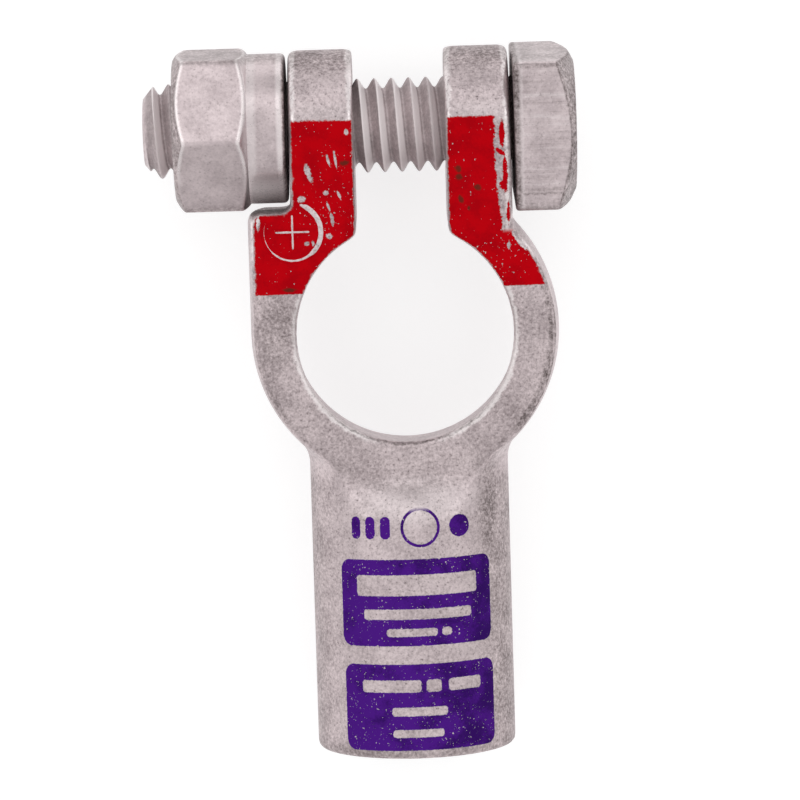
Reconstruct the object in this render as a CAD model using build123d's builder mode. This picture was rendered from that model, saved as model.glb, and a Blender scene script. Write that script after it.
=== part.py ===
"""Battery terminal clamp: a cast split ring and crimp barrel, drawn shut by a bolt and a collar nut.

Frame: the origin is on the axis of the battery post, halfway up the ring. +Z runs up the post,
+Y points from the post to the ears, and the bolt lies along X with its head at +X.
Lengths are in millimetres and angles in degrees.
"""

import os
from math import cos, pi, radians, sqrt, tan

from build123d import *

# Split ring that grips the post
RING_HEIGHT = 12.7  # between the two flat faces
RING_CROWN = 0.5  # how far the cast wall falls back between the parting plane and a flat face
POST_BORE_TOP = 17.6  # diameter at the upper face
POST_TAPER = 9.0  # height in which the bore grows wider by one
RING_WALL = 3.2  # from the bore's wide end out to the wall at the parting plane, halfway up

# Ears that the bolt draws together
SLOT_WIDTH = 7.5  # clear gap between the ears
EAR_THICKNESS = 5.25
BOLT_HOLE_CLEARANCE = 0.3  # radial, around the bolt
SHELF_RISE = 1.13  # from the corner of ring and ear out to the shelf beside the left ear
SHELF_CLEARANCE = 0.45  # between that shelf and the nut's collar
SHELF_FILLET = 0.8  # inside corner of shelf and ear
SHELF_CORNER = 0.8  # outside corner of shelf and left wall
SHOULDER_FILLET = 1.2  # inside corner of ring and right ear
SLOT_CORNER = 0.5  # where the slot opens into the bore
RIM_BREAK = 0.2  # bevel of the edges of the slot and of the bore

# Crimp barrel for the cable
BARREL_DIAMETER = 16.4
BARREL_REACH = 34.7  # from the post axis to the barrel's open end
BARREL_WALL = 1.8  # around the bore for the cable
CABLE_DEPTH = 18.5  # full-diameter depth of the blind bore
DRILL_POINT = 118.0  # included angle at the bottom of the bore
MOUTH_CHAMFER = 0.5
NECK_BLEND = 2.5  # radius between ring and barrel
FACE_SETBACK = 0.45  # from the ring's outer wall in to where the flat face begins to rise
RISE_FOOT = 0.8  # radius at the foot of that rise
RISE_SLOPE = 60.0  # of the rise, up to the barrel
EDGE_BREAK = 0.35  # bevel of the outer cast edges

# Bolt
BOLT_DIAMETER = 7.8  # over the thread
BOLT_LENGTH = 30.27  # under the head
BOLT_POINT = 1.0  # chamfer at the threaded end
HEAD_FLATS = 12.25  # across the flats of the square head
HEAD_HEIGHT = 5.1
HEAD_CHAMFER_ANGLE = 26.0
HEAD_CHAMFER_DROP = 0.4  # depth of the chamfer at the middle of a flat
HEAD_TURN = 8.0  # as it lies, about the bolt axis
HEAD_OFFSET = 0.35  # how far the head was forged off the shank's axis, towards the post
HEAD_GAP = 0.3  # between the head and the right ear, before tightening

# Nut with a round collar
NUT_FLATS = 12.5
NUT_HEX_HEIGHT = 6.1
NUT_CHAMFER_ANGLE = 30.0
NUT_CHAMFER_DROP = 0.25  # depth of the chamfer at the middle of a flat
NUT_TURN = 7.5  # as it lies, about the bolt axis
COLLAR_DIAMETER = 12.5
COLLAR_HEIGHT = 3.1
COLLAR_BREAK = 0.4  # bevel of the collar's bearing edge
NUT_GAP = 0.25  # between the collar and the left ear, before tightening
NUT_BORE_CLEARANCE = 0.05  # radial, over the thread
NUT_LEAD_IN = 0.5  # chamfer at the bore's outer end

# Worked out from the sizes above
HALF_HEIGHT = RING_HEIGHT / 2
POST_BORE_BOTTOM = POST_BORE_TOP + RING_HEIGHT / POST_TAPER
RING_RADIUS = POST_BORE_BOTTOM / 2 + RING_WALL
CROWN_RADIUS = (HALF_HEIGHT**2 + RING_CROWN**2) / (2 * RING_CROWN)
BARREL_RADIUS = BARREL_DIAMETER / 2
CABLE_RADIUS = BARREL_RADIUS - BARREL_WALL
FACE_RADIUS = RING_RADIUS - FACE_SETBACK
EAR_FACE = SLOT_WIDTH / 2 + EAR_THICKNESS
SHOULDER_REACH = sqrt(RING_RADIUS**2 - EAR_FACE**2)
SHELF_REACH = SHOULDER_REACH + SHELF_RISE
BOLT_REACH = SHELF_REACH + SHELF_CLEARANCE + COLLAR_DIAMETER / 2
BOLT_RADIUS = BOLT_DIAMETER / 2
HEAD_SEAT = EAR_FACE + HEAD_GAP
NUT_SEAT = -EAR_FACE - NUT_GAP
BOLT_AXIS = Axis((0, BOLT_REACH, 0), (1, 0, 0))
BOLT_SECTION = Plane(origin=(0, BOLT_REACH, 0), x_dir=(1, 0, 0), z_dir=(0, 0, 1))
HEAD_SECTION = Plane(origin=(0, BOLT_REACH - HEAD_OFFSET, 0), x_dir=(1, 0, 0), z_dir=(0, 0, 1))
HEAD_AXIS = Axis((0, BOLT_REACH - HEAD_OFFSET, 0), (1, 0, 0))
EDGE_FIND = 0.02  # how near an edge lies to the place that names it


def wall_radius(height):
    """Radius of the crowned outer wall at a height above or below the parting plane."""
    return RING_RADIUS - CROWN_RADIUS + sqrt(CROWN_RADIUS**2 - height**2)


def bolt_plane(x):
    """Plane square to the bolt axis at x, with its own x along +Y and its normal along +X."""
    return Plane(origin=(x, BOLT_REACH, 0), x_dir=(0, 1, 0), z_dir=(1, 0, 0))


def crosses(edge, x, y):
    """True for an edge that crosses the parting plane at x, y."""
    return (edge @ 0.5 - Vector(x, y, 0)).length < EDGE_FIND


def on_side(edge, distance):
    """True for an edge that runs along either side of an ear, at a distance from the middle plane."""
    return abs(abs((edge @ 0.5).X) - distance) < EDGE_FIND


os.makedirs("parts", exist_ok=True)

with BuildPart() as clamp_body:
    # Hub: the ring's wall, carried past the barrel's height so that the neck blend runs all round
    hub_half = BARREL_RADIUS + NECK_BLEND
    hub_edge = wall_radius(hub_half)
    with BuildSketch(Plane.YZ):
        with BuildLine():
            ThreePointArc((hub_edge, -hub_half), (RING_RADIUS, 0), (hub_edge, hub_half))
            Polyline((hub_edge, hub_half), (0, hub_half), (0, -hub_half), (hub_edge, -hub_half))
        make_face()
    revolve(axis=Axis.Z)

    # Barrel, blended into the hub by one closed fillet
    with BuildSketch(Plane.XZ):
        Circle(BARREL_RADIUS)
    extrude(amount=BARREL_REACH)
    fillet(clamp_body.edges().filter_by(GeomType.BSPLINE), NECK_BLEND)

    # Both flat faces, turned about the post axis and rising on a slope to the barrel
    with BuildSketch(Plane.YZ):
        with BuildLine():
            face_line = Line((0, HALF_HEIGHT), (FACE_RADIUS, HALF_HEIGHT))
            foot = JernArc(face_line @ 1, (1, 0), RISE_FOOT, RISE_SLOPE)
            rise = PolarLine(foot @ 1, 2 * hub_half, RISE_SLOPE)
            Polyline(rise @ 1, (0, (rise @ 1).Y), (0, HALF_HEIGHT))
        make_face()
    upper_cut = revolve(axis=Axis.Z, mode=Mode.SUBTRACT)
    mirror(upper_cut, about=Plane.XY, mode=Mode.SUBTRACT)

    # Left wall: the ring's own section carried straight on to the shelf under the nut
    with BuildSketch(Plane.XZ):
        with BuildLine():
            face_edge = wall_radius(HALF_HEIGHT)
            ThreePointArc((-face_edge, -HALF_HEIGHT), (-RING_RADIUS, 0), (-face_edge, HALF_HEIGHT))
            Polyline(
                (-face_edge, HALF_HEIGHT),
                (-SLOT_WIDTH / 2, HALF_HEIGHT),
                (-SLOT_WIDTH / 2, -HALF_HEIGHT),
                (-face_edge, -HALF_HEIGHT),
            )
        make_face()
    extrude(amount=-SHELF_REACH)

    # Ears with full-round ends about the bolt axis
    with BuildSketch(Plane.YZ.offset(SLOT_WIDTH / 2)):
        with Locations((BOLT_REACH / 2, 0)):
            Rectangle(BOLT_REACH, RING_HEIGHT)
        with Locations((BOLT_REACH, 0)):
            Circle(HALF_HEIGHT)
    right_ear = extrude(amount=EAR_THICKNESS)
    mirror(right_ear, about=Plane.YZ)

    # Corners beside the ears
    fillet(clamp_body.edges().filter_by(lambda e: crosses(e, -EAR_FACE, SHELF_REACH)), SHELF_FILLET)
    fillet(clamp_body.edges().filter_by(lambda e: crosses(e, -RING_RADIUS, SHELF_REACH)), SHELF_CORNER)
    fillet(clamp_body.edges().filter_by(lambda e: crosses(e, EAR_FACE, SHOULDER_REACH)), SHOULDER_FILLET)

    # Outer edges of the casting: from the round ends of the ears one smooth run goes all round
    ear_ends = clamp_body.edges().filter_by(GeomType.CIRCLE).filter_by(lambda e: on_side(e, EAR_FACE))
    chamfer(ear_ends, EDGE_BREAK)

    # Slot between the ears
    with BuildSketch():
        with Locations((0, BOLT_REACH)):
            Rectangle(SLOT_WIDTH, 2 * BOLT_REACH)
    extrude(amount=RING_HEIGHT, both=True, mode=Mode.SUBTRACT)

    # Tapered bore for the post, with its corners to the slot rounded and its rims bevelled
    Cone(POST_BORE_BOTTOM / 2, POST_BORE_TOP / 2, RING_HEIGHT, mode=Mode.SUBTRACT)
    corner_reach = sqrt(((POST_BORE_TOP + POST_BORE_BOTTOM) / 4) ** 2 - (SLOT_WIDTH / 2) ** 2)
    for side in (-1, 1):
        corner = side * SLOT_WIDTH / 2
        fillet(clamp_body.edges().filter_by(lambda e: crosses(e, corner, corner_reach)), SLOT_CORNER)
    chamfer(clamp_body.edges().filter_by(lambda e: on_side(e, SLOT_WIDTH / 2)), RIM_BREAK)

    # Bolt holes through both ears
    with BuildSketch(bolt_plane(0)):
        Circle(BOLT_RADIUS + BOLT_HOLE_CLEARANCE)
    extrude(amount=2 * EAR_FACE, both=True, mode=Mode.SUBTRACT)

    # Blind bore for the cable, as a drill leaves it
    with BuildSketch():
        with BuildLine():
            bore_bottom = CABLE_DEPTH - BARREL_REACH
            point_height = CABLE_RADIUS / tan(radians(DRILL_POINT / 2))
            Polyline(
                (0, -BARREL_REACH),
                (CABLE_RADIUS, -BARREL_REACH),
                (CABLE_RADIUS, bore_bottom),
                (0, bore_bottom + point_height),
                close=True,
            )
        make_face()
    revolve(axis=Axis.Y, mode=Mode.SUBTRACT)
    mouth = clamp_body.edges().filter_by(GeomType.CIRCLE).group_by(Axis.Y)[0].sort_by(SortBy.RADIUS)
    chamfer(mouth[0], MOUTH_CHAMFER)
    chamfer(mouth[-1], EDGE_BREAK)

clamp_body.part.label = "clamp_body"
export_step(clamp_body.part, "parts/clamp_body.step")

with BuildPart() as clamp_bolt:
    # Square head, its outer end turned to a cone
    with BuildSketch(bolt_plane(HEAD_SEAT)):
        with Locations((-HEAD_OFFSET, 0)):
            Rectangle(HEAD_FLATS, HEAD_FLATS, rotation=HEAD_TURN)
    extrude(amount=HEAD_HEIGHT)
    head_end = HEAD_SEAT + HEAD_HEIGHT
    head_slope = tan(radians(HEAD_CHAMFER_ANGLE))
    head_corner = HEAD_FLATS / 2 / cos(pi / 4)
    head_flat = HEAD_FLATS / 2 - HEAD_CHAMFER_DROP / head_slope
    with BuildSketch(HEAD_SECTION):
        with BuildLine():
            Polyline(
                (HEAD_SEAT, 0),
                (HEAD_SEAT, head_corner),
                (head_end - head_slope * (head_corner - head_flat), head_corner),
                (head_end, head_flat),
                (head_end, 0),
                close=True,
            )
        make_face()
    revolve(axis=HEAD_AXIS, mode=Mode.INTERSECT)

    # Shank, as thick as the thread on it
    with BuildSketch(bolt_plane(HEAD_SEAT)):
        Circle(BOLT_RADIUS)
    extrude(amount=-BOLT_LENGTH)
    chamfer(clamp_bolt.edges().filter_by(GeomType.CIRCLE).sort_by(Axis.X)[0], BOLT_POINT)

clamp_bolt.part.label = "clamp_bolt"
export_step(clamp_bolt.part, "parts/clamp_bolt.step")

with BuildPart() as shoulder_nut:
    # Hex, with a vertex up and both ends turned to cones
    hex_seat = NUT_SEAT - COLLAR_HEIGHT
    hex_end = hex_seat - NUT_HEX_HEIGHT
    with BuildSketch(bolt_plane(hex_seat)):
        RegularPolygon(NUT_FLATS / 2, 6, major_radius=False, rotation=90 + NUT_TURN)
    extrude(amount=-NUT_HEX_HEIGHT)
    nut_slope = tan(radians(NUT_CHAMFER_ANGLE))
    hex_corner = NUT_FLATS / 2 / cos(pi / 6)
    hex_flat = NUT_FLATS / 2 - NUT_CHAMFER_DROP / nut_slope
    with BuildSketch(BOLT_SECTION):
        with BuildLine():
            Polyline(
                (hex_seat, 0),
                (hex_seat, NUT_FLATS / 2),
                (hex_seat - nut_slope * (hex_corner - NUT_FLATS / 2), hex_corner),
                (hex_end + nut_slope * (hex_corner - hex_flat), hex_corner),
                (hex_end, hex_flat),
                (hex_end, 0),
                close=True,
            )
        make_face()
    revolve(axis=BOLT_AXIS, mode=Mode.INTERSECT)

    # Round collar that reaches past the shelf to the ear
    with BuildSketch(bolt_plane(hex_seat)):
        Circle(COLLAR_DIAMETER / 2)
    extrude(amount=COLLAR_HEIGHT)
    chamfer(shoulder_nut.edges().filter_by(GeomType.CIRCLE).sort_by(Axis.X)[-1], COLLAR_BREAK)

    # Bore, with a lead-in at the outer end
    with BuildSketch(bolt_plane(NUT_SEAT)):
        Circle(BOLT_RADIUS + NUT_BORE_CLEARANCE)
    extrude(amount=hex_end - NUT_SEAT, mode=Mode.SUBTRACT)
    rims = shoulder_nut.edges().filter_by(GeomType.CIRCLE).group_by(Axis.X)[0]
    chamfer(rims.sort_by(SortBy.RADIUS)[0], NUT_LEAD_IN)

shoulder_nut.part.label = "shoulder_nut"
export_step(shoulder_nut.part, "parts/shoulder_nut.step")
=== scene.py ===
from math import cos, pi, radians, sin, tan

import bmesh
import bpy
import numpy as np
from mathutils import Matrix, Vector


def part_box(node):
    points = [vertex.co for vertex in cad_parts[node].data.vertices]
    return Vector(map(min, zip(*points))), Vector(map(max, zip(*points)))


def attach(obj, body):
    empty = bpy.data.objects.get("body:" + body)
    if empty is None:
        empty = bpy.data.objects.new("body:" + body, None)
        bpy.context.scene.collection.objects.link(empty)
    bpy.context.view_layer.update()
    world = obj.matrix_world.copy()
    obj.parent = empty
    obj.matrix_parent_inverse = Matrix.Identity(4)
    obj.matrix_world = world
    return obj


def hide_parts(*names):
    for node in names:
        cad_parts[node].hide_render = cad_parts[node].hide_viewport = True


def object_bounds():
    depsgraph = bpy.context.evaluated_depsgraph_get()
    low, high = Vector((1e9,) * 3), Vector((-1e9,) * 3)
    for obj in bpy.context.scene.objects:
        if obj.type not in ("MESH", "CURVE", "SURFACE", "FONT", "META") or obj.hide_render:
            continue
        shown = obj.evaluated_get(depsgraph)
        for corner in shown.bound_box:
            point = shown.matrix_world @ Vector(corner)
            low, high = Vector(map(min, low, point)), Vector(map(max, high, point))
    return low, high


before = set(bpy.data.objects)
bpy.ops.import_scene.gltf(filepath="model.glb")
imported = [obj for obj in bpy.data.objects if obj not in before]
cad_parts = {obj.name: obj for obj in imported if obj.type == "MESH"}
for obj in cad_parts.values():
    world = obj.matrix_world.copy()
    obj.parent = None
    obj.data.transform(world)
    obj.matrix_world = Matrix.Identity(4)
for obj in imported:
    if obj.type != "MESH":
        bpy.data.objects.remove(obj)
cad_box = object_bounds()

# Clamp body: split ring, two ears and crimp barrel, cast in one piece from a copper alloy and tin plated.
# Its upper face is painted red between the bolt and the post, as a sign of the positive pole, and two
# purple fields printed on the barrel show where it is crimped. Sizes are in millimetres.
MM = 0.001
JOIN = 1e-6
SKIN_STEP = 0.27
EDGE_ROUNDS = 3
EDGE_FULL = 0.034
RISE_ROUNDS = 110
RISE_RADIUS = 13.6
RISE_REACH = 1.5
RISE_FROM_Y = 8.0
RISE_FROM_Z = 4.5
FACE_Z = 6.35
BARREL_RADIUS = 8.2
RING_BORE = 8.85
CAST_ROUGH = 0.46
CAST_GRAIN = 0.85
PLATED_ROUGH = 0.34
PLATED_GRAIN = 0.40
PAINT_START = 3.57
PAINT_STOP = 17.45
PAINT_ROUGH = 0.45
PAINT_SPECULAR = 0.02
FIELD_HALF = (6.8, 3.55)
FIELD_CORNER = 0.9
FIELD_LEAN = 0.006
BAR_CORNER = 0.25
MARKS_Y = -15.65
MARK_HALF_HEIGHT = 0.92
HOOP_AROUND = 0.75
HOOP_RADIUS = 1.5
PRINT_START = -13.4

BLACK = (0.0, 0.0, 0.0, 1.0)
WHITE = (1.0, 1.0, 1.0, 1.0)
METAL_BRIGHT = (0.93, 0.86, 0.86, 1.0)
METAL_PALE = (0.71, 0.61, 0.62, 1.0)
METAL_GREY = (0.40, 0.335, 0.345, 1.0)
# Dark colour for soot and for painted shade.
METAL_SOOT_AND_SHADE = (0.105, 0.083, 0.078, 1.0)
PAINT_RED = (0.50, 0.0, 0.004, 1.0)
PAINT_DEEP = (0.39, 0.0, 0.004, 1.0)
PAINT_STAIN = (0.075, 0.022, 0.012, 1.0)
PRINT_PURPLE = (0.072, 0.010, 0.230, 1.0)
PRINT_DEEP = (0.034, 0.005, 0.120, 1.0)


class Field:
    """A socket of a shader tree. Arithmetic on it adds Math nodes, and node() adds any other node."""

    def __init__(self, tree, socket):
        self.tree = tree
        self.socket = socket

    def node(self, kind, settings, inputs, output=0):
        """Adds a node: its settings first, then the value or link of each input. Gives one output."""
        made = self.tree.nodes.new("ShaderNode" + kind)
        for key, value in settings.items():
            setattr(made, key, value)
        for key, value in inputs.items():
            if isinstance(value, Field):
                self.tree.links.new(value.socket, made.inputs[key])
            else:
                made.inputs[key].default_value = value
        return Field(self.tree, made.outputs[output])

    def maths(self, operation, *values):
        """A Math node with these operands."""
        return self.node("Math", {"operation": operation}, dict(enumerate(values)))

    def __add__(self, other):
        return self.maths("ADD", self, other)

    def __sub__(self, other):
        return self.maths("SUBTRACT", self, other)

    def __rsub__(self, other):
        return self.maths("SUBTRACT", other, self)

    def __mul__(self, other):
        return self.maths("MULTIPLY", self, other)

    def __truediv__(self, other):
        return self.maths("DIVIDE", self, other)

    __radd__ = __add__
    __rmul__ = __mul__

    def either(self, other):
        """The larger of two values: the union of two masks."""
        return self.maths("MAXIMUM", self, other)

    def both(self, other):
        """The smaller of two values: the overlap of two masks."""
        return self.maths("MINIMUM", self, other)

    def size(self):
        """The value without its sign."""
        return self.maths("ABSOLUTE", self)

    def rise(self, low, high):
        """A smooth step from 0 at low to 1 at high, where low may be the larger."""
        settings = {"interpolation_type": "SMOOTHSTEP"}
        return self.node("MapRange", settings, {"Value": self, "From Min": low, "From Max": high})

    def mix(self, low, high):
        """The colour low where this mask is 0 and high where it is 1."""
        return self.node("Mix", {"data_type": "RGBA"}, {0: self, 6: low, 7: high}, 2)

    def axes(self):
        """The three parts of a position."""
        split = self.node("SeparateXYZ", {}, {0: self}).socket.node
        return tuple(Field(self.tree, part) for part in split.outputs)

    def stretched(self, scale):
        """A position with each axis scaled."""
        return self.node("VectorMath", {"operation": "MULTIPLY"}, {0: self, 1: scale})

    def noise(self, grain, detail=2.0, rough=0.5):
        """Smooth noise around 0 at this position, with features of about the given size."""
        inputs = {"Vector": self, "Scale": 1.0 / grain, "Detail": detail, "Roughness": rough}
        return self.node("TexNoise", {}, inputs) - 0.5

    def spot(self, at, half_size, turn):
        """Distance from an ellipse's middle, 1 on its rim, seen along the post."""
        inputs = {"Vector": self, "Location": (*at, 0.0), "Rotation": (0.0, 0.0, radians(turn))}
        inputs["Scale"] = (*half_size, 1000.0)
        local = self.node("Mapping", {"vector_type": "TEXTURE"}, inputs)
        return local.node("VectorMath", {"operation": "LENGTH"}, {0: local}, "Value")

    def spots(self, listed, warp, rim):
        """Mask of a list of ellipses (place, half sizes, turn), their rims broken up by warp."""
        mask = None
        for at, half_size, turn in listed:
            inside = (self.spot(at, half_size, turn) + warp).rise(1.0 + rim, 1.0 - rim)
            mask = inside if mask is None else mask.either(inside)
        return mask


def new_material(name):
    """A material with one Principled shader, and the surface position in millimetres as a field."""
    material = bpy.data.materials.new(name)
    material.use_nodes = True
    tree = material.node_tree
    coordinates = tree.nodes.new("ShaderNodeTexCoord")
    position = Field(tree, coordinates.outputs["Object"])
    place = position.node("VectorMath", {"operation": "SCALE"}, {0: position, 3: 1.0 / MM})
    return material, tree.nodes["Principled BSDF"], place


def finish_shader(shader, place, colour, roughness, metallic, height):
    """Feeds the shader; height is the relief in millimetres."""
    tree = place.tree
    tree.links.new(colour.socket, shader.inputs["Base Color"])
    tree.links.new(roughness.socket, shader.inputs["Roughness"])
    if isinstance(metallic, Field):
        tree.links.new(metallic.socket, shader.inputs["Metallic"])
    else:
        shader.inputs["Metallic"].default_value = metallic
    shader.inputs["Specular IOR Level"].default_value = PAINT_SPECULAR
    bump = place.node("Bump", {}, {"Strength": 1.0, "Distance": MM, "Height": height})
    tree.links.new(bump.socket, shader.inputs["Normal"])


def rounded_box(u, v, half_u, half_v, corner):
    """Distance from a rectangle inset by the corner radius: corner on the rim of the rounded rectangle."""
    across = (u.size() - (half_u - corner)).either(0.0)
    along = (v.size() - (half_v - corner)).either(0.0)
    squared = across * across + along * along
    return squared.maths("SQRT", squared)


def tin_plate(place, soot_and_shade, wear_and_highlight, rough, grainy):
    """Tin over a rough surface: pale and grey grain and dark pits; the first mask darkens it, for grime and
    for painted shade, and the second brightens it, for wear and for painted highlight. Gives colour,
    roughness and relief."""
    cloud = place.noise(2.4, 3.0, 0.6)
    grain = place.noise(0.29, 3.0, 0.65)
    speck = place.noise(0.15, 2.0, 0.6)
    tone = 0.46 + cloud * 1.0 + (grain * 1.6 + speck * 0.9) * grainy
    colour = tone.rise(0.0, 1.0).mix(METAL_PALE, METAL_GREY)
    colour = wear_and_highlight.mix(colour, METAL_BRIGHT)
    pits = (speck + grain * 0.6).rise(0.14, 0.24) * (0.6 * grainy)
    grime_and_shade = (soot_and_shade * (0.62 + cloud * 0.7 + grain * 1.7 + speck * 0.9)).both(1.0).either(pits)
    colour = grime_and_shade.mix(colour, METAL_SOOT_AND_SHADE)
    roughness = rough + grain * 0.35 * grainy + grime_and_shade * 0.2 - wear_and_highlight * 0.12
    relief = cloud * 0.05 + (grain * 0.028 + speck * 0.012) * grainy
    return colour, roughness, relief


def cast_material():
    """Tin plate, red paint on the upper face with its chips and wear, and the printed crimp fields."""
    material, shader, place = new_material("painted tin plate")
    x, y, z = place.axes()
    ragged = place.noise(0.55, 4.0, 0.7)
    fine = place.noise(0.20, 3.0, 0.65)

    # Darkening: painted shade in the corner under the nut, in the creases at the neck, on the barrel's flanks
    # (with a dirty patch on the right), at the barrel's end, on the ears' round ends and round the upper
    # face's outer rim; a dark line on the bore's lower rim, and the upper face darker, with blotches, most of
    # all on the ring's left side. Other edges are worn bright, which also stands as painted highlight.
    flat_place = place.stretched((1.0, 1.0, 0.0))
    from_post = flat_place.node("VectorMath", {"operation": "LENGTH"}, {0: flat_place}, "Value")
    bore_rim = (from_post - RING_BORE - 0.16 + ragged * 0.6).size().rise(0.16, 0.03)
    bore_rim = bore_rim.both(y.rise(-5.0, -7.5)).both(z.rise(5.4, 6.0))
    on_top = z.rise(2.0, 4.5)
    # Painted shade in the creases at the neck, where the barrel rises from the ring.
    creases = (
        ((5.50, -10.70), (1.10, 0.42), 55.0),
        ((-4.80, -11.00), (0.60, 0.26), -40.0),
        ((-0.50, -11.35), (0.30, 0.16), 20.0),
    )
    crease_shade = place.spots(creases, ragged * 1.9, 0.9) * on_top
    # The barrel's flanks darker: a dirty patch on the right, and painted shade down both sides.
    barrel = y.rise(-10.5, -13.0)
    flank = place.spot((6.55, -14.9), (1.25, 4.8), 0.0).rise(1.3, 0.25) * on_top * 0.76
    flank = flank.either(x.rise(4.4, 7.2) * barrel * 0.56).either(x.rise(-5.8, -8.1) * barrel * 0.40)
    face = z.rise(5.9, 6.25) * from_post.rise(13.4, 12.4).either(y.rise(0.0, 1.0))
    # Painted shade on the shelf's wall in the corner under the nut.
    corner = place.spot((-11.0, 10.7), (3.2, 1.0), 0.0).rise(1.2, 0.7) * z.rise(6.2, 5.9) * 0.95
    blotch = place.noise(0.55, 3.0, 0.65).rise(0.03, 0.20) * face
    left_side = place.spot((-10.4, 0.6), (2.6, 4.6), 0.0).rise(1.2, 0.3) * face
    # Painted shade on the ears' round ends and at the barrel's end.
    far_ends_shade = y.rise(20.4, 22.4).either(y.rise(-33.1, -34.0) * 0.7)
    soot_and_shade = (bore_rim * 0.75).either(crease_shade * 0.42).either(flank).either(blotch * 0.42).either(corner)
    # Painted sheen: the ears' ends are lighter and less dark just past the paint, where they turn towards the
    # light.
    by_paint_sheen = y.rise(17.0, 17.6) * y.rise(20.4, 18.6) * face
    soot_and_shade = soot_and_shade.either(face * 0.24).either(left_side * 0.50) * (1.0 - by_paint_sheen * 0.7)
    edge = place.node("Attribute", {"attribute_name": "edge"}, {}, "Fac")
    # Painted shade along the upper face's outer rim.
    outer_rim_shade = edge.rise(EDGE_FULL * 0.3, EDGE_FULL * 0.8) * from_post.rise(10.9, 11.5) * on_top
    outer_rim_shade = outer_rim_shade * y.rise(6.5, 5.0) * y.rise(-9.5, -7.0) * (0.45 + x.rise(-3.0, 3.0) * 0.4)
    soot_and_shade = soot_and_shade.either(far_ends_shade * 0.62).either(outer_rim_shade)
    # Edges worn bright, which also stands as painted highlight.
    wear_and_highlight = (edge + ragged * EDGE_FULL * 2.0).rise(EDGE_FULL * 0.35, EDGE_FULL) * 0.8
    wear_and_highlight = wear_and_highlight * from_post.rise(10.9, 10.3).either(y.rise(5.5, 7.0))
    wear_and_highlight = wear_and_highlight * x.size().rise(1.5, 4.5).either(y.rise(-6.0, -4.0))
    # A painted glint on the bore's lower edges.
    glint = wear_and_highlight * from_post.rise(10.3, 9.8) * y.rise(0.5, -2.0)
    wear_and_highlight = wear_and_highlight.either(by_paint_sheen * 0.12).either(glint * 1.2)
    # A painted sheen where the barrel rises from the ring, facing the light.
    wear_and_highlight = wear_and_highlight.either(place.spot((0.3, -13.6), (6.0, 2.2), 0.0).rise(1.2, 0.2) * on_top * 0.30)
    metal, metal_rough, relief = tin_plate(place, soot_and_shade, wear_and_highlight, CAST_ROUGH, CAST_GRAIN)

    # Paint: laid on the upper face alone, masked off straight across at both ends
    paint = (z + ragged * 0.45).rise(6.11, 6.23)
    paint = paint.both((y + ragged * 0.35 + fine * 0.35).rise(PAINT_STOP + 0.07, PAINT_STOP - 0.07))
    paint = paint.both((y - x * 0.011 + fine * 0.16).rise(PAINT_START - 0.04, PAINT_START + 0.04))

    # Chips through to the metal, the strip worn bare beside the head, and the paint that is left in it
    chips = (
        ((-7.48, 13.33), (0.24, 0.78), 16.0),
        ((-5.83, 14.25), (0.11, 0.55), 14.0),
        ((-5.26, 14.30), (0.10, 0.80), 8.0),
        ((-6.07, 11.59), (0.20, 0.20), 0.0),
        ((-5.03, 11.40), (0.11, 0.42), 24.0),
        ((-5.94, 10.53), (0.11, 0.42), 20.0),
        ((-5.65, 9.47), (0.15, 0.55), 6.0),
        ((-8.11, 11.17), (0.32, 0.28), 30.0),
        ((-11.65, 9.41), (0.15, 0.62), -3.0),
        ((-7.74, 7.55), (0.22, 0.17), 0.0),
        ((-7.25, 7.55), (0.11, 0.24), 10.0),
        ((-5.94, 8.11), (0.25, 0.22), 0.0),
        ((-4.30, 16.50), (0.15, 0.24), 0.0),
        ((8.60, 6.95), (0.14, 0.28), 0.0),
        ((9.45, 7.35), (0.24, 1.00), 34.0),
    )
    patches = (
        ((8.27, 15.95), (0.22, 1.05), 0.0),
        ((8.15, 14.50), (0.50, 0.17), -35.0),
        ((8.45, 12.75), (0.20, 1.35), 0.0),
        ((8.28, 11.85), (0.34, 0.34), 0.0),
        ((8.66, 9.60), (0.16, 0.80), 0.0),
    )
    bare = place.spots(chips, ragged * 1.5 + fine * 1.2, 0.14)
    slant = (13.0 - y).either(0.0) * 0.10
    strip = (x - 7.66 - slant + ragged * 0.7 + fine * 0.4).rise(-0.04, 0.06).both(y.rise(7.9, 8.4))
    left_on = place.spots(patches, ragged * 1.6 + fine * 1.2, 0.12)
    strip = strip * (1.0 - left_on)
    rubbed = (((-5.5, 9.6), (2.4, 4.6), 0.0), ((8.3, 6.0), (2.4, 1.8), -30.0))
    more = place.spots(rubbed, ragged * 0.5, 0.5) * 0.045
    flecks = (place.noise(0.22, 2.0, 0.55) + ragged * 0.25 + more).rise(0.205, 0.235)
    paint = paint * (1.0 - bare.either(strip).either(flecks))

    # Dark spots in the paint
    stains = (
        ((-4.54, 13.97), (0.38, 0.20), 10.0),
        ((4.65, 13.29), (0.22, 0.26), 20.0),
        ((4.71, 12.56), (0.26, 0.22), 0.0),
        ((6.15, 11.71), (0.30, 0.20), -15.0),
        ((4.82, 10.78), (0.18, 0.30), 25.0),
        ((5.45, 10.04), (0.10, 0.20), 0.0),
        ((-9.23, 3.82), (0.55, 0.14), 0.0),
    )
    stain = place.spots(stains, ragged * 1.8 + fine * 1.2, 0.45)

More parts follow.
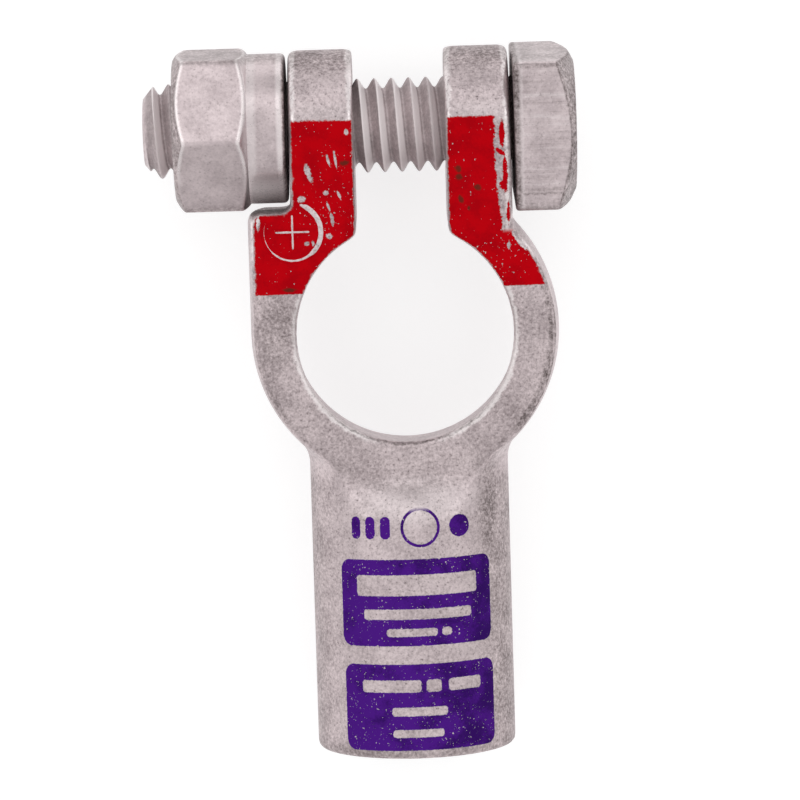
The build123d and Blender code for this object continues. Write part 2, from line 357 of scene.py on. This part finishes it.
    # Print: two round-cornered fields on the barrel's upper side, measured round it and along it, each with
    # three rows of bars left open, and a row of plain marks between the upper field and the ring
    around = x.maths("ARCTAN2", x, z) * BARREL_RADIUS
    outside = x.maths("SQRT", x * x + z * z).rise(BARREL_RADIUS - 0.45, BARREL_RADIUS - 0.20)
    scuffs = (place.noise(1.1, 4.0, 0.75) + fine * 0.5).rise(0.20, 0.28)
    worn_print = (fine + ragged * 0.35).rise(0.150, 0.195).either(scuffs)
    fields = (
        ((0.40, -21.78), ((0.0, 1.42, 5.2, 0.85), (0.0, -0.95, 4.6, 0.42), (-0.55, -2.45, 2.1, 0.32),
                          (2.35, -2.45, 0.42, 0.32))),
        ((0.52, -30.38), ((-2.55, 1.75, 2.5, 0.5), (1.0, 1.75, 0.62, 0.5), (3.75, 1.75, 1.5, 0.5),
                          (-0.2, -0.35, 2.3, 0.36), (-0.35, -2.15, 2.1, 0.32))),
    )
    purple = None
    for (middle_around, middle_along), bars in fields:
        u = around - middle_around
        v = y - middle_along - u * FIELD_LEAN
        rim = rounded_box(u, v, *FIELD_HALF, FIELD_CORNER) + fine * 0.14
        field = rim.rise(FIELD_CORNER + 0.03, FIELD_CORNER - 0.03)
        for at_u, at_v, half_length, half_height in bars:
            bar = rounded_box(u - at_u, v - at_v, half_length, half_height, BAR_CORNER) + fine * 0.2
            field = field * bar.rise(BAR_CORNER - 0.03, BAR_CORNER + 0.03)
        purple = field if purple is None else purple.either(field)
    for at, half_width in ((-4.75, 0.42), (-3.45, 0.42), (-2.15, 0.42), (4.1, 0.92)):
        mark = rounded_box(around - at, y - MARKS_Y, half_width, MARK_HALF_HEIGHT, half_width) + fine * 0.16
        purple = purple.either(mark.rise(half_width + 0.03, half_width - 0.03))
    hoop = rounded_box(around - HOOP_AROUND, y - MARKS_Y, HOOP_RADIUS, HOOP_RADIUS, HOOP_RADIUS)
    hoop = hoop - HOOP_RADIUS + fine * 0.1
    purple = purple.either(hoop.size().rise(0.15, 0.09))
    purple = purple.both(outside).both(y.rise(PRINT_START, PRINT_START - 0.3)) * (1.0 - worn_print)

    shade = place.noise(1.6, 2.0, 0.5)
    red = (shade + fine * 0.5).rise(-0.15, 0.25).mix(PAINT_RED, PAINT_DEEP)
    red = (stain * 0.8).mix(red, PAINT_STAIN)
    # The ink is painted darker towards the barrel's right side, as painted shade.
    ink = (shade + fine * 0.6 + x * 0.02).rise(-0.10, 0.25).mix(PRINT_PURPLE, PRINT_DEEP)
    colour = purple.mix(paint.mix(metal, red), ink)
    cover = paint.either(purple)
    roughness = metal_rough * (1.0 - cover) + cover * PAINT_ROUGH
    metallic = 1.0 - cover.either(glint * 0.9)
    height = relief * (1.0 - paint * 0.5) + paint * 0.03
    finish_shader(shader, place, colour, roughness, metallic, height)
    return material


def cast_copy(node, name):
    """A CAD node's shape with a casting's soft edges: an even skin of small quads, whose points are drawn to
    the middle of their neighbours a few times, and many times where the barrel rises from the ring. How far
    each point sinks is kept in millimetres as the attribute edge, high along edges, which the material makes
    bright for wear and painted highlight and dark for painted shade."""
    shell = bmesh.new()
    shell.from_mesh(node.data)
    bmesh.ops.remove_doubles(shell, verts=shell.verts, dist=JOIN)
    sharp = bpy.data.meshes.new(name)
    shell.to_mesh(sharp)
    shell.free()
    piece = bpy.data.objects.new(name, sharp)
    bpy.context.scene.collection.objects.link(piece)
    skin = piece.modifiers.new("skin", "REMESH")
    skin.mode = "VOXEL"
    skin.voxel_size = SKIN_STEP * MM
    soft = bpy.data.meshes.new_from_object(piece.evaluated_get(bpy.context.evaluated_depsgraph_get()))
    piece.modifiers.remove(skin)
    piece.data = soft
    bpy.data.meshes.remove(sharp)

    points = np.empty((len(soft.vertices), 3), np.float32)
    soft.vertices.foreach_get("co", points.ravel())
    ends = np.empty((len(soft.edges), 2), np.int32)
    soft.edges.foreach_get("vertices", ends.ravel())
    start, stop = ends.T
    count = len(points)
    neighbours = np.bincount(ends.ravel(), minlength=count)[:, None]
    reach = np.hypot(points[:, 0], points[:, 1]) / MM
    near_rise = np.clip(RISE_REACH - np.abs(reach - RISE_RADIUS), 0.0, 1.0)
    near_rise *= np.clip(-points[:, 1] / MM - RISE_FROM_Y, 0.0, 1.0)
    near_rise *= np.clip(np.abs(points[:, 2]) / MM - RISE_FROM_Z, 0.0, 1.0)
    before = points.copy()
    for step in range(RISE_ROUNDS):
        pull = 0.5 * (near_rise if step >= EDGE_ROUNDS else np.ones(count))[:, None]
        sums = np.stack([
            np.bincount(start, points[stop, k], count) + np.bincount(stop, points[start, k], count)
            for k in range(3)
        ], -1)
        points += pull * (sums / neighbours - points)
    soft.vertices.foreach_set("co", points.ravel())
    soft.polygons.foreach_set("use_smooth", np.ones(len(soft.polygons), bool))
    soft.update()
    outwards = np.empty((count, 3), np.float32)
    soft.vertices.foreach_get("normal", outwards.ravel())
    sunk = ((before - points) * outwards).sum(1) / MM * (1.0 - near_rise)
    soft.attributes.new("edge", "FLOAT", "POINT").data.foreach_set("value", sunk.astype(np.float32))
    return piece


cast_body = cast_copy(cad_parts["clamp_body"], "cast_body")
cast_body.data.materials.clear()
cast_body.data.materials.append(cast_material())
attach(cast_body, "clamp")
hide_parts("clamp_body")

# Polarity sign: a plus in a ring, cast in relief on the upper face beside the nut. It was painted with the
# face, and its crests are rubbed bare, most of all on the side towards the slot.
SIGN_PLACE = (-8.90, 8.50)
SIGN_RADIUS = 2.31
SIGN_ARM = 1.42
SIGN_HALF_WIDTH = 0.26
SIGN_HEIGHT = 0.07
SIGN_ROOT = 0.15
SIGN_START = 158.0
SIGN_STOP = 434.0
SIGN_STEPS = 140
SIGN_ARC_BARE = ((158, 170, 215, 228, 300, 316, 420, 434),
                 (0.0, 0.01, 0.02, 0.06, 0.09, 0.18, 0.21, 0.13))
ARM_STEPS = 40
ARM_BARE = 0.075
BEAD_COLUMNS = 11
BEAD_BLUNTNESS = 20


def ridge(path, side, ends, bare):
    """Points, faces and bare shares of a bead along a path of (x, y): height * cos(pi t / 2)^2 over a width
    t from -1 to 1, closed by a root under the face. ends narrows it to nothing at both ends."""
    width = np.linspace(-1.0, 1.0, BEAD_COLUMNS)
    raised = SIGN_HEIGHT * np.cos(pi * width / 2) ** 2
    width = np.append(width, (0.8, -0.8))
    raised = np.append(raised, (-SIGN_ROOT, -SIGN_ROOT))
    offset = (SIGN_HALF_WIDTH * ends)[:, None, None] * width[None, :, None]
    flat = path[:, None, :] + side[:, None, :] * offset
    height = FACE_Z + raised[None, :] * ends[:, None]
    points = np.concatenate((flat, height[..., None]), -1)
    rows, columns = height.shape
    index = np.arange(rows * columns).reshape(rows, columns)
    turned = np.roll(index, -1, 1)
    faces = np.stack((index[:-1], index[1:], turned[1:], turned[:-1]), -1).reshape(-1, 4)
    wear_and_highlight = np.clip((bare[:, None] - np.abs(width)[None, :] * SIGN_HALF_WIDTH) / 0.10 + 0.5, 0.0, 1.0)
    wear_and_highlight = wear_and_highlight * (raised > 0.0)
    return points.reshape(-1, 3), faces, wear_and_highlight.ravel()


def blunt(share):
    """1 along a bead, falling to 0 in a quarter circle at both ends, for shares from -1 to 1."""
    return np.sqrt(np.clip(1.0 - share**BEAD_BLUNTNESS, 0.0, 1.0))


def sign_piece():
    """The open ring, which ends at the shelf under the nut, and the two arms of the plus."""
    middle = np.array(SIGN_PLACE)
    angle = np.radians(np.linspace(SIGN_START, SIGN_STOP, SIGN_STEPS + 1))
    outwards = np.stack((np.cos(angle), np.sin(angle)), -1)
    rubbed = np.interp(np.degrees(angle), *SIGN_ARC_BARE)
    beads = [ridge(middle + SIGN_RADIUS * outwards, -outwards, blunt(np.linspace(-1, 1, len(angle))), rubbed)]
    along = np.linspace(-1.0, 1.0, ARM_STEPS + 1)
    for direction in ((1.0, 0.0), (0.0, 1.0)):
        path = middle + SIGN_ARM * along[:, None] * np.array(direction)
        side = np.broadcast_to((-direction[1], direction[0]), path.shape)
        beads.append(ridge(path, side, blunt(along), np.full(len(along), ARM_BARE)))
    points, faces, wear_and_highlight = [], [], []
    first = 0
    for bead_points, bead_faces, bead_worn in beads:
        points.append(bead_points * MM)
        faces.append(bead_faces + first)
        wear_and_highlight.append(bead_worn)
        first += len(bead_points)
    mesh = bpy.data.meshes.new("pole_sign")
    mesh.from_pydata(np.concatenate(points), [], np.concatenate(faces).tolist())
    mesh.attributes.new("bare", "FLOAT", "POINT").data.foreach_set("value", np.concatenate(wear_and_highlight))
    closed = bmesh.new()
    closed.from_mesh(mesh)
    bmesh.ops.remove_doubles(closed, verts=closed.verts, dist=JOIN)
    bmesh.ops.dissolve_degenerate(closed, edges=closed.edges, dist=JOIN)
    bmesh.ops.recalc_face_normals(closed, faces=closed.faces)
    closed.to_mesh(mesh)
    closed.free()
    mesh.polygons.foreach_set("use_smooth", np.ones(len(mesh.polygons), bool))
    piece = bpy.data.objects.new("pole_sign", mesh)
    bpy.context.scene.collection.objects.link(piece)
    return piece


def sign_material():
    """The face's red paint, with tin plate on the rubbed crests."""
    material, shader, place = new_material("rubbed sign")
    ragged = place.noise(0.35, 4.0, 0.7)
    clean = ragged * 0.0
    metal, metal_rough, relief = tin_plate(place, clean, clean + 0.2, CAST_ROUGH, CAST_GRAIN)
    rubbed = place.node("Attribute", {"attribute_name": "bare"}, {}, "Fac")
    paint = (rubbed + ragged * 1.1).rise(0.62, 0.42)
    shade = place.noise(1.6, 2.0, 0.5)
    red = shade.rise(-0.15, 0.25).mix(PAINT_RED, PAINT_DEEP)
    finish_shader(shader, place, paint.mix(metal, red), metal_rough, 1.0 - paint, relief)
    return material


pole_sign = sign_piece()
pole_sign.data.materials.append(sign_material())
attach(pole_sign, "clamp")

# Bolt: square-head bolt, cold forged from steel, thread rolled and tin plated. It lies across the ears with
# its head on the right, and the nut draws it through them.
BOLT_LOW, BOLT_HIGH = (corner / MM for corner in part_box("clamp_bolt"))
NUT_LOW, NUT_HIGH = (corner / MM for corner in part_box("shoulder_nut"))
BOLT_Y = (NUT_LOW.y + NUT_HIGH.y) / 2
HEAD_Y = (BOLT_LOW.y + BOLT_HIGH.y) / 2
PITCH = 1.4111
THREAD_RADIUS = 3.9
THREAD_DEPTH = 0.866
CREST_X = 0.871
CREST_LIFT = 0.108
CREST_BLEND = 0.10
ROOT_BLEND = 0.08
ROWS_PER_PITCH = 24
THREAD_END_BLEND = 0.03
POINT_RADIUS = 2.75
POINT_SLOPE = tan(radians(50.0))
HEAD_FLATS = 12.25
HEAD_HEIGHT = 5.1
HEAD_TURN = 8.0
HEAD_SEAT = BOLT_HIGH.x - HEAD_HEIGHT
HEAD_CONE_RADIUS = 5.3
HEAD_CONE_SLOPE = tan(radians(26.0))
HEAD_SEAT_EDGE = 0.30
HEAD_CORNERS = 26.0
HEAD_BLEND = 0.12
HEAD_PER_SIDE = 28
HEAD_ROWS = 60
FACE_ROWS = 6
CORNER_CROWDING = 0.115
SHARP_ANGLE = 40.0


def soft_min(first, second, blend):
    """The smaller of two arrays, rounded over where they cross."""
    return -blend * np.logaddexp(-first / blend, -second / blend)


def soft_max(first, second, blend):
    """The larger of two arrays, rounded over where they cross."""
    return blend * np.logaddexp(first / blend, second / blend)


def corner_angles(sides, turn, per_side):
    """Angles once round a prism, from one corner back to it, crowded at its corners."""
    step = np.linspace(0.0, 1.0, per_side + 1)
    crowded = step - CORNER_CROWDING * np.sin(2 * pi * step)
    once = (np.arange(sides)[:, None] + crowded[None, :-1]).ravel() / sides
    return radians(turn) + 2 * pi * np.append(once, 1.0)


def prism_radius(angles, sides, flats, turn, sharpness):
    """Distance from axis to side of a prism with rounded corners: the flats' distances, each side's
    cosine raised to a high power and summed."""
    normals = radians(turn) + pi / sides + 2 * pi * np.arange(sides) / sides
    facing = np.maximum(np.cos(angles[:, None] - normals[None, :]), 0.0)
    return flats / 2 / (facing**sharpness).sum(1) ** (1 / sharpness)


def thread_radius(phase):
    """Radius of a rolled 60 degree thread at a phase in turns: a triangle wave, crest and root rounded."""
    from_crest = np.abs(phase - np.round(phase)) * PITCH
    flank = THREAD_RADIUS + PITCH * CREST_LIFT - from_crest * tan(radians(60.0))
    crested = soft_min(flank, np.full_like(flank, THREAD_RADIUS), CREST_BLEND)
    return soft_max(crested, np.full_like(flank, THREAD_RADIUS - THREAD_DEPTH), ROOT_BLEND)


def thread_rows(angles, start, stop, start_radius, stop_radius, shape):
    """Rows that follow the helix x = pitch * (row + turn), so that crest and root are unbroken lines.
    Rows past either end fall on one circle there. shape(x, phase) gives the radius."""
    turn = (angles - angles[0]) / (2 * pi)
    count = int(np.ceil((stop - start) / PITCH + 1)) * ROWS_PER_PITCH
    row = np.arange(count + 1) / ROWS_PER_PITCH
    along = start - PITCH + PITCH * (row[:, None] + turn[None, :])
    phase = (along - CREST_X) / PITCH - angles[None, :] / (2 * pi)
    radius = shape(along, phase)
    radius = np.where(along <= start, start_radius, np.where(along >= stop, stop_radius, radius))
    return np.clip(along, start, stop), radius


def turned_mesh(name, angles, bands):
    """A closed skin about the bolt's direction from bands of rows, each (x, radius, y of its axis) over the
    angles, the end of one band on the start of the next."""
    points = []
    faces = []
    first = 0
    for along, radius, axis_y in bands:
        along = np.broadcast_to(along, radius.shape)
        y = axis_y + radius * np.cos(angles)
        z = radius * np.sin(angles)
        points.append(np.stack((along, y, z), -1).reshape(-1, 3) * MM)
        index = first + np.arange(radius.size).reshape(radius.shape)
        corners = (index[:-1, :-1], index[:-1, 1:], index[1:, 1:], index[1:, :-1])
        faces.append(np.stack(corners, -1).reshape(-1, 4))
        first += radius.size
    mesh = bpy.data.meshes.new(name)
    mesh.from_pydata(np.concatenate(points), [], np.concatenate(faces).tolist())
    skin = bmesh.new()
    skin.from_mesh(mesh)
    bmesh.ops.remove_doubles(skin, verts=skin.verts, dist=JOIN)
    bmesh.ops.dissolve_degenerate(skin, edges=skin.edges, dist=JOIN)
    skin.to_mesh(mesh)
    skin.free()
    mesh.polygons.foreach_set("use_smooth", np.ones(len(mesh.polygons), bool))
    mesh.set_sharp_from_angle(angle=radians(SHARP_ANGLE))
    piece = bpy.data.objects.new(name, mesh)
    bpy.context.scene.collection.objects.link(piece)
    return piece


def rings(along, radius, angles, axis_y):
    """Plain rings: one value or row of values per ring, spread over the angles."""
    along = np.asarray(along, float).reshape(-1, 1)
    radius = np.broadcast_to(radius, (len(along), len(angles)))
    return along, radius, axis_y


def bolt_piece():
    """Point, thread and square head as one skin. The head's axis lies a little off the thread's, and rings
    on the seat lead from one to the other."""
    angles = corner_angles(4, HEAD_TURN - 45.0, HEAD_PER_SIDE)
    tip = BOLT_LOW.x
    end = BOLT_HIGH.x
    seat = HEAD_SEAT

    def shank(along, phase):
        point = POINT_RADIUS + (along - tip) * POINT_SLOPE
        return soft_min(thread_radius(phase), point, THREAD_END_BLEND)

    share = np.linspace(0.0, 1.0, FACE_ROWS)[:, None]
    point_face = rings(np.full(FACE_ROWS, tip), share * POINT_RADIUS, angles, BOLT_Y)
    thread = *thread_rows(angles, tip, seat, POINT_RADIUS, THREAD_RADIUS, shank), BOLT_Y
    square = prism_radius(angles, 4, HEAD_FLATS, HEAD_TURN - 45.0, HEAD_CORNERS)[None, :]
    seat_radius = THREAD_RADIUS + share * (square - HEAD_SEAT_EDGE - THREAD_RADIUS)
    seat_face = rings(np.full(FACE_ROWS, seat), seat_radius, angles, BOLT_Y + share * (HEAD_Y - BOLT_Y))
    bend = np.linspace(0.0, pi / 2, FACE_ROWS)[:, None]
    seat_edge = rings(seat + HEAD_SEAT_EDGE * (1 - np.cos(bend)),
                      square - HEAD_SEAT_EDGE * (1 - np.sin(bend)), angles, HEAD_Y)
    side = np.linspace(seat + HEAD_SEAT_EDGE, end, HEAD_ROWS)[:, None]
    cone = HEAD_CONE_RADIUS + (end - side) / HEAD_CONE_SLOPE
    flank_radius = soft_min(np.broadcast_to(square, (HEAD_ROWS, len(angles))), cone, HEAD_BLEND)
    flank = rings(side, flank_radius, angles, HEAD_Y)
    end_face = rings(np.full(FACE_ROWS, end), flank_radius[-1:] * (1.0 - share), angles, HEAD_Y)
    return turned_mesh("square_bolt", angles, (point_face, thread, seat_face, seat_edge, flank, end_face))


def bolt_material():
    """Tin plate over forged steel: forging lines along the head, whose end is bevelled, duller and painted
    dark as painted shade, with painted shade at the seat and on the head's far sides. The thread's flank
    facing the head is painted lighter and its other flank darker, as painted light and shade."""
    material, shader, place = new_material("plated bolt")
    x, y, z = place.axes()
    wander = place.noise(0.6, 3.0, 0.7)
    from_axis = y.maths("SQRT", (y - HEAD_Y) * (y - HEAD_Y) + z * z)
    inside_cone = HEAD_CONE_RADIUS + (BOLT_HIGH.x - x) / HEAD_CONE_SLOPE - from_axis + wander * 0.2
    bevel = inside_cone.rise(0.40, 0.10)
    on_head = x.rise(HEAD_SEAT + 0.3, HEAD_SEAT + 0.8) * (1.0 - bevel)
    # Painted shade at the seat, where the head meets the ear.
    seat_shade = (x - HEAD_SEAT).size().rise(0.70, 0.30)
    lines = place.stretched((0.05, 1.0, 1.0)).noise(0.55, 4.0, 0.8) + wander * 0.12
    lined = lines.rise(0.0, 0.18) * on_head * 0.42
    trimmed = (y - HEAD_Y + 5.45 + wander * 0.5).size().rise(0.16, 0.03) * on_head * 0.5
    corner = (y - HEAD_Y - 4.95 + wander * 0.2).size().rise(0.28, 0.08) * z.rise(5.0, 5.6) * 0.6
    # Painted shade on the head's far sides.
    far_side_shade = (y - HEAD_Y).rise(5.0, 5.6).either((HEAD_Y - y).rise(6.0, 6.7)) * 0.52
    # The end bevel is painted dark, as painted shade.
    soot_and_shade = (bevel * 0.95).either(lined).either(trimmed).either(corner).either(far_side_shade)
    soot_and_shade = (soot_and_shade * x.rise(HEAD_SEAT, HEAD_SEAT + 0.2)).either(seat_shade * 0.9)
    margin = (x - HEAD_SEAT - 0.60 + wander * 0.4).size().rise(0.24, 0.08)
    wear_and_highlight = (margin * 0.22).either(lines.rise(-0.02, -0.2) * on_head * 0.35)

    turns = y.maths("ARCTAN2", z, y - BOLT_Y) / (2 * pi)
    phase = (x - CREST_X) / PITCH - turns
    from_crest = phase - phase.maths("ROUND", phase)
    on_shank = x.rise(HEAD_SEAT - 0.1, HEAD_SEAT - 0.3) * x.rise(BOLT_LOW.x + 0.1, BOLT_LOW.x + 0.5)
    # Painted light and shade on the thread: the flank facing the head lighter, the other flank darker.
    lit_flank = from_crest.rise(-0.04, 0.04) * from_crest.rise(0.44, 0.32)
    wear_and_highlight = wear_and_highlight.either(lit_flank * on_shank)
    soot_and_shade = soot_and_shade.either((1.0 - lit_flank) * on_shank * 0.40)
    grainy = PLATED_GRAIN * (1.0 - on_shank * 0.7)
    metal, rough, relief = tin_plate(place, soot_and_shade, wear_and_highlight, PLATED_ROUGH, grainy)
    height = relief * 0.6 + lines * on_head * 0.03
    metallic = 1.0 - on_shank * (0.5 + lit_flank * 0.3)
    finish_shader(shader, place, metal, rough + on_shank * 0.12, metallic, height)
    return material


square_bolt = bolt_piece()
square_bolt.data.materials.append(bolt_material())
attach(square_bolt, "bolt")
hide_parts("clamp_bolt")

# Nut: hexagon nut with a round collar, turned and tapped from steel bar and tin plated. The collar
# reaches past the shelf of the casting to bear on the left ear.
NUT_FLATS = 12.5
NUT_TURN = 7.5
NUT_CONE = tan(radians(30.0))
NUT_END_RADIUS = 5.817
COLLAR_RADIUS = 6.15
COLLAR_HEIGHT = 3.1
COLLAR_EDGE = 0.4
NUT_BORE = 4.4
THREAD_FREE = 0.05
NUT_CORNERS = 60.0
NUT_BLEND = 0.07
NUT_PER_SIDE = 22
NUT_ROWS = 64
COLLAR_ROWS = 10
COLLAR_EDGE_ROWS = 7


def nut_piece():
    """Hexagon, collar and threaded bore as one skin round the bolt."""
    angles = corner_angles(6, 90.0 + NUT_TURN, NUT_PER_SIDE)
    left = NUT_LOW.x
    right = NUT_HIGH.x
    hex_end = right - COLLAR_HEIGHT
    share = np.linspace(0.0, 1.0, FACE_ROWS)[:, None]
    hexagon = prism_radius(angles, 6, NUT_FLATS, 90.0 + NUT_TURN, NUT_CORNERS)[None, :]
    side = np.linspace(left, hex_end, NUT_ROWS)[:, None]
    cone = np.minimum(NUT_END_RADIUS + (side - left) / NUT_CONE,
                      COLLAR_RADIUS + (hex_end - side) / NUT_CONE)
    flank_radius = soft_min(np.broadcast_to(hexagon, (NUT_ROWS, len(angles))), cone, NUT_BLEND)
    flank = rings(side, flank_radius, angles, BOLT_Y)
    left_radius = NUT_BORE + share * (flank_radius[:1] - NUT_BORE)
    left_face = rings(np.full(FACE_ROWS, left), left_radius, angles, BOLT_Y)
    bend = np.linspace(0.0, pi / 2, COLLAR_EDGE_ROWS)[:, None]
    collar_side = np.linspace(hex_end, right - COLLAR_EDGE, COLLAR_ROWS + 2)[1:-1, None]
    collar_x = np.concatenate((collar_side, right - COLLAR_EDGE * (1 - np.sin(bend))))
    collar_r = np.concatenate((np.full((COLLAR_ROWS, 1), COLLAR_RADIUS),
                               COLLAR_RADIUS - COLLAR_EDGE * (1 - np.cos(bend))))
    collar_rows = np.broadcast_to(collar_r, (len(collar_r), len(angles)))
    collar = rings(np.concatenate((side[-1:], collar_x)),
                   np.concatenate((flank_radius[-1:], collar_rows)), angles, BOLT_Y)
    bearing = COLLAR_RADIUS - COLLAR_EDGE
    right_face = rings(np.full(FACE_ROWS, right), bearing - share * (bearing - NUT_BORE), angles, BOLT_Y)

    def bore(along, phase):
        lead_in = NUT_BORE - np.minimum(along - left, right - along)
        return soft_max(thread_radius(phase) + THREAD_FREE, lead_in, THREAD_END_BLEND)

    thread_x, thread_r = thread_rows(angles, left, right, NUT_BORE, NUT_BORE, bore)
    thread = thread_x[::-1], thread_r[::-1], BOLT_Y
    return turned_mesh("collar_nut", angles, (left_face, flank, collar, right_face, thread))


def nut_material():
    """Tin plate over turned steel: bevels duller and painted darker, their edges with the upper flats painted
    bright, as painted shade and highlight, painted shade by the bearing face and on the far sides, and
    painted light on the collar's lower side, its right edge and its joint with the hexagon."""
    material, shader, place = new_material("plated nut")
    x, y, z = place.axes()
    hex_end = NUT_HIGH.x - COLLAR_HEIGHT
    wander = place.noise(0.6, 3.0, 0.7)
    from_axis = y.maths("SQRT", (y - BOLT_Y) * (y - BOLT_Y) + z * z)
    left_cone = NUT_END_RADIUS + (x - NUT_LOW.x) / NUT_CONE - from_axis
    right_cone = COLLAR_RADIUS + (hex_end - x) / NUT_CONE - from_axis
    inside_cones = left_cone.both(right_cone) + wander * 0.15
    on_hexagon = x.rise(hex_end + 0.02, hex_end - 0.02)
    # The bevels painted darker, as painted shade, and their edges with the upper flats painted bright, as
    # painted highlight.
    bevel = inside_cones.rise(0.22, 0.04) * on_hexagon * x.rise(hex_end - 1.5, hex_end - 3.0)
    bevel_edge_highlight = inside_cones.rise(0.02, 0.20) * inside_cones.rise(0.75, 0.3) * on_hexagon
    bevel_edge_highlight = bevel_edge_highlight * (y - BOLT_Y).rise(-5.5, -2.0)
    # Painted shade on the bearing face, in the gap against the ear.
    bearing = x.rise(NUT_HIGH.x - 0.36, NUT_HIGH.x - 0.1)
    # Painted shade on the nut's far sides.
    far_side_shade = (y - BOLT_Y).rise(5.1, 5.8).either((BOLT_Y - y).rise(5.9, 6.6) * on_hexagon) * 0.58
    soot_and_shade = bearing.either(far_side_shade).either(bevel * 0.75)
    # Painted light: the collar's lower side paler and less metallic.
    under = (BOLT_Y - y).rise(3.0, 5.0) * (1.0 - on_hexagon)
    # Painted highlight round the joint of hexagon and collar.
    joint_highlight = (x - hex_end - 0.15).size().rise(0.75, 0.30)
    # Painted highlight on the collar's rounded right edge.
    collar_edge_highlight = x.rise(NUT_HIGH.x - 0.85, NUT_HIGH.x - 0.55) * (1.0 - bearing)
    wear_and_highlight = (bevel_edge_highlight * 0.7).either(under * 0.5).either(joint_highlight * 0.35).either(collar_edge_highlight * 0.5)
    metal, rough, relief = tin_plate(place, soot_and_shade, wear_and_highlight, PLATED_ROUGH, PLATED_GRAIN)
    finish_shader(shader, place, metal, rough, 1.0 - under.either(joint_highlight * 0.35) * 0.75, relief * 0.6)
    return material


collar_nut = nut_piece()
collar_nut.data.materials.append(nut_material())
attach(collar_nut, "nut")
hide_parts("shoulder_nut")

# Floor: a plain white sheet that the part lies on. The camera and the metal see it near white, and it
# keeps the part's soft shadow.
FLOOR_HALF = 3.0
FLOOR_GREY = (0.46, 0.46, 0.46, 1.0)
FLOOR_ROUGH = 0.9
FLOOR_GLOW = 0.68


def floor_material():
    """White paper, lifted to white where the camera or a reflection sees it."""
    material = bpy.data.materials.new("white floor")
    material.use_nodes = True
    tree = material.node_tree
    shader = tree.nodes["Principled BSDF"]
    shader.inputs["Base Color"].default_value = FLOOR_GREY
    shader.inputs["Roughness"].default_value = FLOOR_ROUGH
    shader.inputs["Emission Strength"].default_value = FLOOR_GLOW
    path = tree.nodes.new("ShaderNodeLightPath")
    camera, glossy, through = (
        Field(tree, path.outputs[name]) for name in ("Is Camera Ray", "Is Glossy Ray", "Is Transmission Ray")
    )
    seen = camera.either(glossy).either(through)
    glow = seen.mix(BLACK, WHITE)
    tree.links.new(glow.socket, shader.inputs["Emission Color"])
    return material


floor_z = cad_box[0][2]
floor_mesh = bpy.data.meshes.new("floor")
corners = np.array([(-1, -1), (1, -1), (1, 1), (-1, 1)]) * FLOOR_HALF
floor_mesh.from_pydata(np.column_stack((corners, np.full(4, floor_z))), [], [(0, 1, 2, 3)])
floor = bpy.data.objects.new("floor", floor_mesh)
bpy.context.scene.collection.objects.link(floor)
floor_mesh.materials.append(floor_material())

# Studio: a light tent, brighter overhead and brightest beyond the ears, with a lamp there and a small one on
# each side for the edges, and the camera looking down on the part.
CAMERA_PLACE = Vector((0.0, 25.2, 350.0)) * MM
CAMERA_AIM = Vector((-0.6, -5.95, 0.0)) * MM
CAMERA_ROLL = 1.7
CAMERA_LENS = 191.0
SKY_LIGHT = 1.2
SKY_SIDE = 0.55
SKY_TOP = 0.77
SKY_KEY = 0.05
SKY_KEY_TOWARDS = (0.0, 0.72, 0.70)
LAMPS = (
    ("far lamp", (-0.10, 0.50, 0.50), 0.30, 0.15),
    ("left lamp", (-0.50, 0.10, 0.42), 0.10, 0.16),
    ("right lamp", (0.50, 0.14, 0.42), 0.10, 0.16),
)


def looking(place, aim, roll):
    """Matrix of something at a place that looks at aim, the row's +Y up in the picture, leaning by roll."""
    ahead = (aim - place).normalized()
    right = ahead.cross(Vector((0.0, 1.0, 0.0))).normalized()
    up = right.cross(ahead)
    leaning = up * cos(radians(roll)) + right * sin(radians(roll))
    turn = Matrix((ahead.cross(leaning), leaning, -ahead)).transposed()
    return Matrix.Translation(place) @ turn.to_4x4()


def lamp(name, place, width, power):
    """A square lamp that faces the part."""
    data = bpy.data.lights.new(name, "AREA")
    data.size = width
    data.energy = power
    made = bpy.data.objects.new(name, data)
    made.matrix_world = looking(Vector(place), Vector((0.0, 0.0, 0.0)), 0.0)
    bpy.context.scene.collection.objects.link(made)


world = bpy.data.worlds.new("studio")
world.use_nodes = True
bpy.context.scene.world = world
sky = world.node_tree
direction = Field(sky, sky.nodes.new("ShaderNodeTexCoord").outputs["Generated"])
up = direction.axes()[2]
toward_key = direction.node("VectorMath", {"operation": "DOT_PRODUCT"}, {0: direction, 1: SKY_KEY_TOWARDS}, 1)
level = SKY_SIDE + up.rise(0.0, 1.0) * (SKY_TOP - SKY_SIDE) + toward_key.rise(0.55, 1.0) * SKY_KEY
sky_colour = level.mix(BLACK, WHITE)
sky.links.new(sky_colour.socket, sky.nodes["Background"].inputs["Color"])
sky.nodes["Background"].inputs["Strength"].default_value = SKY_LIGHT
for name, place, width, power in LAMPS:
    lamp(name, place, width, power)

camera_data = bpy.data.cameras.new("camera")
camera_data.lens = CAMERA_LENS
camera_data.sensor_width = 36.0
camera_data.clip_start = 0.01
camera_data.clip_end = 20.0
camera = bpy.data.objects.new("camera", camera_data)
camera.matrix_world = looking(CAMERA_PLACE, CAMERA_AIM, CAMERA_ROLL)
bpy.context.scene.collection.objects.link(camera)
bpy.context.scene.camera = camera
bpy.context.scene.view_settings.view_transform = "Standard"
